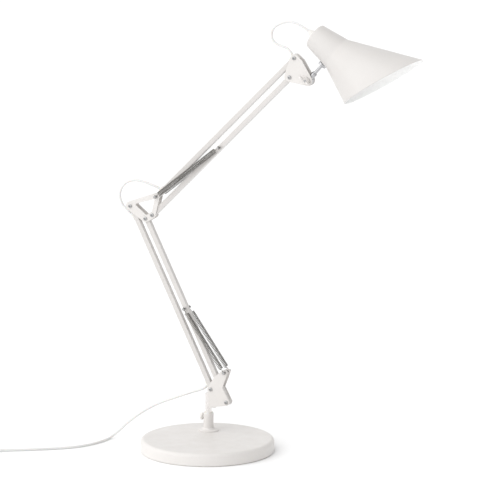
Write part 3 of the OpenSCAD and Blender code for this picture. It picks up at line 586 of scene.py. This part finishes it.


# ---- Shade ----
# Spun from one aluminium disc: a flat cap with a rounded corner, a neck that widens a little, and a
# bell cut off at a slant. Outside it has the arms' paint, darkened as painted shade, and inside it is glossy
# white.

droop = math.radians(34.8)
shade_way = np.array([math.cos(droop), 0.0, -math.sin(droop)])
shade_side = np.array([-math.sin(droop), 0.0, -math.cos(droop)])
socket_depth = 0.0325
lamp_socket = next(mount for mount in frame["record"]["mounts"] if mount["name"] == "lamp_socket")
cap_centre = np.array(lamp_socket["pos_m"]) - socket_depth * shade_way


def shade_profile(inset):
    """The shade's half section up to the bell, as (distance from the cap, radius): hole's edge, flat
    cap, corner arc, neck and a soft crease."""
    cap_radius, neck_radius, neck_long, corner = 0.024, 0.032, 0.055, 0.003
    turn = np.linspace(0, math.pi / 2 - 0.14, 8)
    round_radius = corner - inset
    arc = [(corner - round_radius * math.cos(t), cap_radius - corner + round_radius * math.sin(t))
           for t in turn]
    neck = np.linspace(0.05, 0.96, 8)[:, None] * (neck_long - corner, neck_radius - cap_radius)
    neck = neck + (corner, cap_radius - inset)
    crease = (neck_long + inset * 0.2, neck_radius - inset + 0.0001)
    hole = [(inset, 0.0052), (inset, 0.012)]
    return np.array(hole + arc + neck.tolist() + [crease])


def spun_shade():
    """A surface of distance along the axis and angle round it. The bell's edge lies in a plane
    slanted by the mouth angle, so its far distance is L - r cos(a) tan(slant) solved on the cone."""
    columns = 144
    a = np.linspace(0, 2 * np.pi, columns, endpoint=False)[None, :]
    flare, slant, long = math.tan(math.radians(23)), math.tan(math.radians(23.75)), 0.15
    wall, lip_swell = 0.0009, 0.0004
    walls = []
    for inset in (0.0, wall):
        body = shade_profile(inset)
        foot, start = body[-1]
        lean = np.cos(a) * slant
        edge = (long - (start - foot * flare) * lean) / (1 + flare * lean)
        share = np.linspace(0, 1, 28)[1:, None]
        bell = foot + (edge - foot) * share
        along = np.concatenate([np.repeat(body[:, :1], columns, 1), bell])
        radius = np.concatenate([np.repeat(body[:, 1:], columns, 1), start + (bell - foot) * flare])
        walls.append((along, radius))
    (out_z, out_r), (in_z, in_r) = walls
    lip = np.sin(np.linspace(0, math.pi, 7))[1:-1, None] * lip_swell
    share = np.linspace(0, 1, 7)[1:-1, None]
    lip_z = out_z[-1:] * (1 - share) + in_z[-1:] * share + lip
    lip_r = out_r[-1:] * (1 - share) + in_r[-1:] * share + lip * flare
    along = np.concatenate([out_z, lip_z, in_z[::-1]])[..., None]
    radius = np.concatenate([out_r, lip_r, in_r[::-1]])[..., None]
    a = a[..., None]
    round_axis = np.cos(a) * shade_side + np.sin(a) * np.array([0, 1.0, 0])
    points = cap_centre + along * shade_way + radius * round_axis
    rows = len(along)
    i, j = np.meshgrid(np.arange(rows), np.arange(columns), indexing="ij")
    down, after = (i + 1) % rows, (j + 1) % columns
    quads = np.stack([i * columns + j, i * columns + after, down * columns + after,
                      down * columns + j], -1)
    piece = piece_from("spun_shade", [(points.reshape(-1, 3), quads.reshape(-1, 4).tolist())],
                       shaded_white_paint)
    inside = np.repeat(np.arange(rows) > len(out_z) + 2, columns).astype(np.int32)
    piece.data.materials.append(white_gloss)
    piece.data.polygons.foreach_set("material_index", inside)
    return piece


white_gloss = coated_finish("white_reflector_paint", (0.975, 0.975, 0.97), (0.965, 0.965, 0.96), 0.28,
                            0.06, 0.001, 0.0001, dust=0.0, IOR=1.5)
shade = spun_shade()
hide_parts("shade")
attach(shade, "shade")


# ---- Lamp holder and gland ----
# A moulded holder screwed to the cap on a hollow nipple, with a rolled brass shell inside. Behind
# the cap, a ribbed gland grips the cord and keeps its bend easy.

def along_shade(distance):
    """The point of the shade's axis at a distance from its cap."""
    return cap_centre + distance * shade_way


def threaded_shell():
    """The brass shell: inside radius = r + depth cos(turns round the axis - distance over pitch),
    outside plain, joined by a flat foot and a rounded lip."""
    pitch, bore, wall, foot, top = 0.00362, 0.0132, 0.0008, 0.0, 0.024
    thread, foot_thick, foot_hole, columns = 0.00025, 0.0015, 0.007, 72
    along = np.linspace(foot + foot_thick, top, 90)[:, None]
    a = np.linspace(0, 2 * np.pi, columns, endpoint=False)[None, :]
    inside = bore - thread + thread * np.cos(2 * np.pi * along / pitch - a)
    flat = np.array([[top, bore + wall * 0.5], [top, bore + wall], [foot, bore + wall], [foot, foot_hole],
                     [foot + foot_thick, foot_hole]])
    along = np.concatenate([np.repeat(along, columns, 1), np.repeat(flat[:, :1], columns, 1)])[::-1, :, None]
    radius = np.concatenate([inside, np.repeat(flat[:, 1:], columns, 1)])[::-1, :, None]
    a = a[..., None]
    points = along_shade(0.02) + along * shade_way + radius * (np.cos(a) * shade_side
                                                               + np.sin(a) * np.array([0, 1.0, 0]))
    rows = len(along)
    i, j = np.meshgrid(np.arange(rows), np.arange(columns), indexing="ij")
    down, after = (i + 1) % rows, (j + 1) % columns
    quads = np.stack([i * columns + j, i * columns + after, down * columns + after,
                      down * columns + j], -1)
    return points.reshape(-1, 3), quads.reshape(-1, 4).tolist()


def ribbed_sleeve(long, root, tip, plain, ribs, depth):
    """Half section of a strain relief: radius falls evenly from root to tip, and past the plain
    length it dips by depth in each groove between the ribs."""
    along = np.linspace(0, long, 12 * ribs + 1)
    taper = np.clip((along - plain) / (long - plain), 0, 1)
    radius = root + (tip - root) * taper
    wave = 0.5 - 0.5 * np.cos(2 * np.pi * ribs * taper)
    groove = np.where((along > plain) & (along < long * 0.97), depth * wave ** 2, 0)
    return np.stack([along, radius - groove], 1).tolist()


give(plated_steel, "holder_nipple")
holder_plastic = coated_finish("holder_plastic", (0.83, 0.82, 0.79), (0.8, 0.785, 0.75), 0.38, 0.02,
                               0.0008, 0.0001)
give(holder_plastic, "lamp_holder")
brass = metal_finish("brass_sheet", (0.72, 0.55, 0.27), (0.6, 0.44, 0.2), 0.3, (800, 800, 800))
shell = piece_from("threaded_brass_shell", [threaded_shell()], brass)
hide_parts("lamp_shell")
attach(shell, "shade")
give(brass, "lamp_contact")
lead_cover = coated_finish("lead_insulation", (0.05, 0.05, 0.055), (0.035, 0.035, 0.04), 0.45, 0.01,
                           0.0005, 0.00005)
give(lead_cover, "lamp_leads")
gland_long = 0.014
ribs = ribbed_sleeve(gland_long, root=0.007, tip=0.0034, plain=0.005, ribs=3, depth=0.0008)
sleeve = [(0.0, 0.0001), (0.0, 0.0066)] + ribs + [(gland_long, 0.0001)]
gland = piece_from("ribbed_gland", [turned_part(sleeve, cap_centre, -shade_way)], white_plastic)
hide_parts("cord_gland")
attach(gland, "shade")


# ---- Arm cords ----
# White round flex. It runs inside the rear tubes and comes out in a free loop at the elbow and at
# the head, with length to spare for the arms' whole travel.

cord_jacket = coated_finish("white_flex_jacket", (0.78, 0.78, 0.77), (0.75, 0.75, 0.735), 0.45, 0.05, 0.0008,
                            0.00012, Subsurface_Weight=0.08, Subsurface_Scale=0.002)
cord_thick = 0.0044


def through(points, steps):
    """A smooth line through given points: Catmull-Rom, each span cut into equal steps."""
    p = np.asarray(points, float)
    a, b = np.concatenate([p[:1], p[:-2]]), p[:-1]
    c, d = p[1:], np.concatenate([p[2:], p[-1:]])
    t = (np.arange(steps) / steps)[None, :, None]
    a, b, c, d = (v[:, None] for v in (a, b, c, d))
    spans = 0.5 * (2 * b + (c - a) * t + (2 * a - 5 * b + 4 * c - d) * t ** 2
                   + (3 * b - a - 3 * c + d) * t ** 3)
    return np.concatenate([spans.reshape(-1, 3), p[-1:]])


def in_plane(points):
    """Points of the arms' plane, given as (x, z)."""
    return [(x, 0.0, z) for x, z in points]


def along_tube(pivot, rise, first, last, gap):
    """Evenly spaced points on a tube's axis, from its pivot at an angle above level."""
    reach = np.arange(first, last, gap)[:, None]
    way = np.array([[math.cos(math.radians(rise)), math.sin(math.radians(rise))]])
    return [tuple(p) for p in np.array(pivot) + reach * way]


def held_cord(name, line, bodies):
    """A stretch of cord on one body, or, between two bodies, left where it lies with its transform baked in."""
    piece = piece_from(name, [tube_part(line, cord_thick / 2, (0.0, 1.0, 0.0))], cord_jacket)
    if len(bodies) == 1:
        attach(piece, bodies[0])
    else:
        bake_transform(piece)
    return piece


lower_rise = 116.4
upper_rise = 44.15
lower_pivot = joint_at["lower_arm_lift"][[0, 2]]
upper_pivot = joint_at["upper_arm_lift"][[0, 2]]
gland_end = along_shade(-gland_long)
lower_foot = [(-0.013, 0.1025), (-0.0065, 0.1065), (-0.003, 0.1105), (-0.0015, 0.1145), (-0.0015, 0.121)]
lower_inside = along_tube(lower_pivot, lower_rise, 0.024, 0.337, 0.022)
lower_head = [(-0.1485, 0.417), (-0.155, 0.4225), (-0.163, 0.428), (-0.169, 0.4335), (-0.18, 0.444),
              (-0.185, 0.46), (-0.181, 0.475), (-0.17, 0.486), (-0.155, 0.491), (-0.137, 0.49),
              (-0.121, 0.486), (-0.105, 0.481)]
upper_foot = [(-0.105, 0.481), (-0.101, 0.479), (-0.0965, 0.4785), (-0.0895, 0.4805)]
upper_inside = along_tube(upper_pivot, upper_rise, 0.028, 0.364, 0.022)
upper_head = [(0.1695, 0.732), (0.1712, 0.7386), (0.1708, 0.743), (0.1695, 0.747), (0.163, 0.754),
              (0.153, 0.758), (0.142, 0.7615), (0.133, 0.768), (0.13, 0.778), (0.132, 0.787), (0.139, 0.795),
              (0.15, 0.8005), (0.165, 0.8035), (0.181, 0.801), (gland_end[0], gland_end[2])]
arm_points = lower_foot + lower_inside + lower_head + upper_foot[1:] + upper_inside + upper_head
arm_line = through(in_plane(arm_points), 4)


def span(first, last):
    """The stretch of the arm's cord between the points nearest two given places, both included."""
    near = [int(np.argmin(np.linalg.norm(arm_line[:, [0, 2]] - np.array(p), axis=1))) for p in (first, last)]
    return arm_line[near[0]:near[1] + 1]


held_cord("lower_cord_foot", span(lower_foot[0], lower_inside[0]), ("fork", "lower_rear_link"))
lower_run = held_cord("lower_cord_inside", span(lower_inside[0], lower_inside[-1]), ("lower_rear_link",))
held_cord("elbow_cord_rise", span(lower_inside[-1], (-0.181, 0.475)), ("lower_rear_link", "elbow"))
held_cord("elbow_cord_fall", span((-0.181, 0.475), lower_head[-1]), ("elbow", "upper_rear_link"))
upper_run = held_cord("upper_cord_inside", span(upper_foot[0], upper_inside[-1]), ("upper_rear_link",))
held_cord("head_cord_rise", span(upper_inside[-1], (0.142, 0.7615)), ("upper_rear_link", "head"))
held_cord("head_cord_turn", span((0.142, 0.7615), (0.139, 0.795)), ("head", "tilt_block"))
held_cord("head_cord_fall", span((0.139, 0.795), upper_head[-1]), ("tilt_block", "shade"))
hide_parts("lower_arm_cord")
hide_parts("upper_arm_cord")


# ---- Supply cord ----
# The same flex, from the fork down to the desk, through its in-line switch, and wound into a neat
# coil held by a strap, with the plug beside it.

on_desk = cord_thick / 2
supply_route = [
    (-0.013, 0, 0.1025), (-0.02, 0, 0.0995), (-0.038, 0, 0.093), (-0.071, -0.002, 0.08),
    (-0.102, -0.006, 0.067), (-0.125, -0.012, 0.054), (-0.143, -0.02, 0.041), (-0.158, -0.028, 0.028),
    (-0.17, -0.036, 0.015), (-0.178, -0.046, 0.006), (-0.181, -0.06, on_desk), (-0.182, -0.078, on_desk),
    (-0.187, -0.104, on_desk), (-0.197, -0.128, on_desk), (-0.213, -0.151, on_desk),
    (-0.242, -0.176, on_desk), (-0.276, -0.2, on_desk), (-0.305, -0.218, on_desk), (-0.336, -0.2375, on_desk)]
to_coil_route = [
    (-0.386, -0.2615, on_desk), (-0.398, -0.2705, on_desk), (-0.403, -0.284, on_desk),
    (-0.402, -0.297, on_desk), (-0.3975, -0.309, on_desk), (-0.392, -0.32, on_desk)]
to_plug_route = [
    (-0.386, -0.326, 2.8 * on_desk), (-0.381, -0.3375, 2.8 * on_desk), (-0.3755, -0.349, 0.0038),
    (-0.3695, -0.36, 0.0038)]


def wound_coil(centre, middle, first, last, turns, per_turn=36):
    """A coil wound inwards on the desk in four turns, and outwards on top in three that lie in their
    grooves: radius and height hold for each turn and pass to the next in its last fifth, smoothly."""
    start, end = (math.atan2(p[1] - centre[1], p[0] - centre[0]) for p in (first, last))
    sweep = 2 * math.pi * turns + (end - start)
    a = np.linspace(0, sweep, round(per_turn * sweep / (2 * math.pi)))
    radius = middle + cord_thick * np.array([1.5, 0.5, -0.5, -1.5, -1, 0, 1, 1])
    height = on_desk * np.array([1, 1, 1, 1, 2.8, 2.8, 2.8, 2.8])
    turn = np.minimum((a / (2 * math.pi)).astype(int), turns - 1)
    part = np.clip((a / (2 * math.pi) - turn - 0.8) / 0.2, 0, 1)
    part = part * part * (3 - 2 * part)
    r = radius[turn] + (radius[turn + 1] - radius[turn]) * part
    z = height[turn] + (height[turn + 1] - height[turn]) * part
    return np.stack([centre[0] + r * np.cos(a + start), centre[1] + r * np.sin(a + start), z], 1)


low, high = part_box("cord_coil")
coil_centre = (low + high) / 2
coil = wound_coil(coil_centre, 0.026, to_coil_route[-1], to_plug_route[0], 7)
inside_switch = np.linspace(supply_route[-1], to_coil_route[0], 8)[1:-1]
cord_line = np.concatenate([through(supply_route, 6), inside_switch, through(to_coil_route, 4)[:-1],
                            coil, through(to_plug_route, 4)[1:]])
supply_cord = piece_from("supply_flex", [tube_part(cord_line, cord_thick / 2, (0.0, 0.0, 1.0))],
                         cord_jacket)
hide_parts("supply_cord", "to_coil_cord", "cord_coil", "to_plug_cord")
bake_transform(supply_cord)


# ---- In-line switch, plug and strap ----
# Both are moulded in white plastic, the switch in two shells round its rocker and the plug in one
# shot over the cord, with a plain boot where the cord leaves it.

case = softened("switch_case", 0.0007, "switch_shell", white_plastic, "base", 3)
rocker = softened("switch_rocker", 0.0004, "switch_key", white_plastic, "rocker", 2)
body = softened("plug", 0.0025, "plug_body", white_plastic, "base", 4)
give(white_plastic, "plug_boot")
tie_plastic = coated_finish("strap_plastic", (0.72, 0.71, 0.69), (0.68, 0.67, 0.64), 0.6, 0.01,
                            0.0005, 0.0001)
strap = softened("coil_tie", 0.0003, "coil_strap", tie_plastic, "base")
give(plated_steel, "plug_pins")


# ---- Floor, light and camera ----
# A plain pale floor under soft light: a broad key from the upper left front, and a white surround,
# dimmer on the right, that fills the shadows.

def plain_floor():
    """One square of floor, pale and matt, with a faint noise in its colour."""
    mesh = bpy.data.meshes.new("studio_floor")
    half = 40.0
    corners = [(-half, -half, 0), (half, -half, 0), (half, half, 0), (-half, half, 0)]
    mesh.from_pydata(corners, [], [(0, 1, 2, 3)])
    floor = bpy.data.objects.new("studio_floor", mesh)
    bpy.context.scene.collection.objects.link(floor)
    material, tree, shader = new_finish("floor_paper", Roughness=0.9)
    shader.inputs["Specular IOR Level"].default_value = 0.1
    place = add_node(tree, "TexCoord").outputs["Object"]
    tooth = add_node(tree, "TexNoise", {"Vector": place, "Scale": 3.0}).outputs[0]
    colour = mixed(tree, tooth, (0.97, 0.97, 0.97, 1), (0.98, 0.98, 0.98, 1))
    tree.links.new(colour, shader.inputs["Base Color"])
    mesh.materials.append(material)


def soft_sun(name, towards, power, spread):
    """A far, wide light that shines along a direction, so it falls evenly over the whole floor."""
    data = bpy.data.lights.new(name, "SUN")
    data.energy = power
    data.angle = math.radians(spread)
    lamp = bpy.data.objects.new(name, data)
    x, y, z = towards
    lamp.rotation_euler = (math.atan2(math.hypot(x, y), -z), 0, math.atan2(-x, y))
    bpy.context.scene.collection.objects.link(lamp)


plain_floor()
soft_sun("key_light", (0.5, 0.68, -0.72), 1.35, 90)
world = bpy.data.worlds.new("studio_surround")
world.use_nodes = True
surround = world.node_tree
heading = add_node(surround, "TexCoord").outputs["Generated"]
towards = add_node(surround, "VectorMath", {0: heading, 1: (0.92, 0.25, 0.3)}, operation="DOT_PRODUCT")
strength = ramped(surround, towards.outputs["Value"], -0.3, 1.0, 1.0, 0.62)
surround.links.new(strength, surround.nodes["Background"].inputs["Strength"])
surround.nodes["Background"].inputs["Color"].default_value = (1.0, 1.0, 1.0, 1)
scene = bpy.context.scene
scene.world = world
scene.view_settings.view_transform = "Standard"

lens = bpy.data.cameras.new("viewpoint")
lens.lens = 210.1
lens.sensor_width = 36.0
lens.clip_end = 200.0
camera = bpy.data.objects.new("viewpoint", lens)
camera.location = (2.3497, -4.8175, 1.3454)
camera.rotation_euler = (math.radians(90 - 10.31924), 0, math.radians(25.16442))
scene.collection.objects.link(camera)
scene.camera = camera
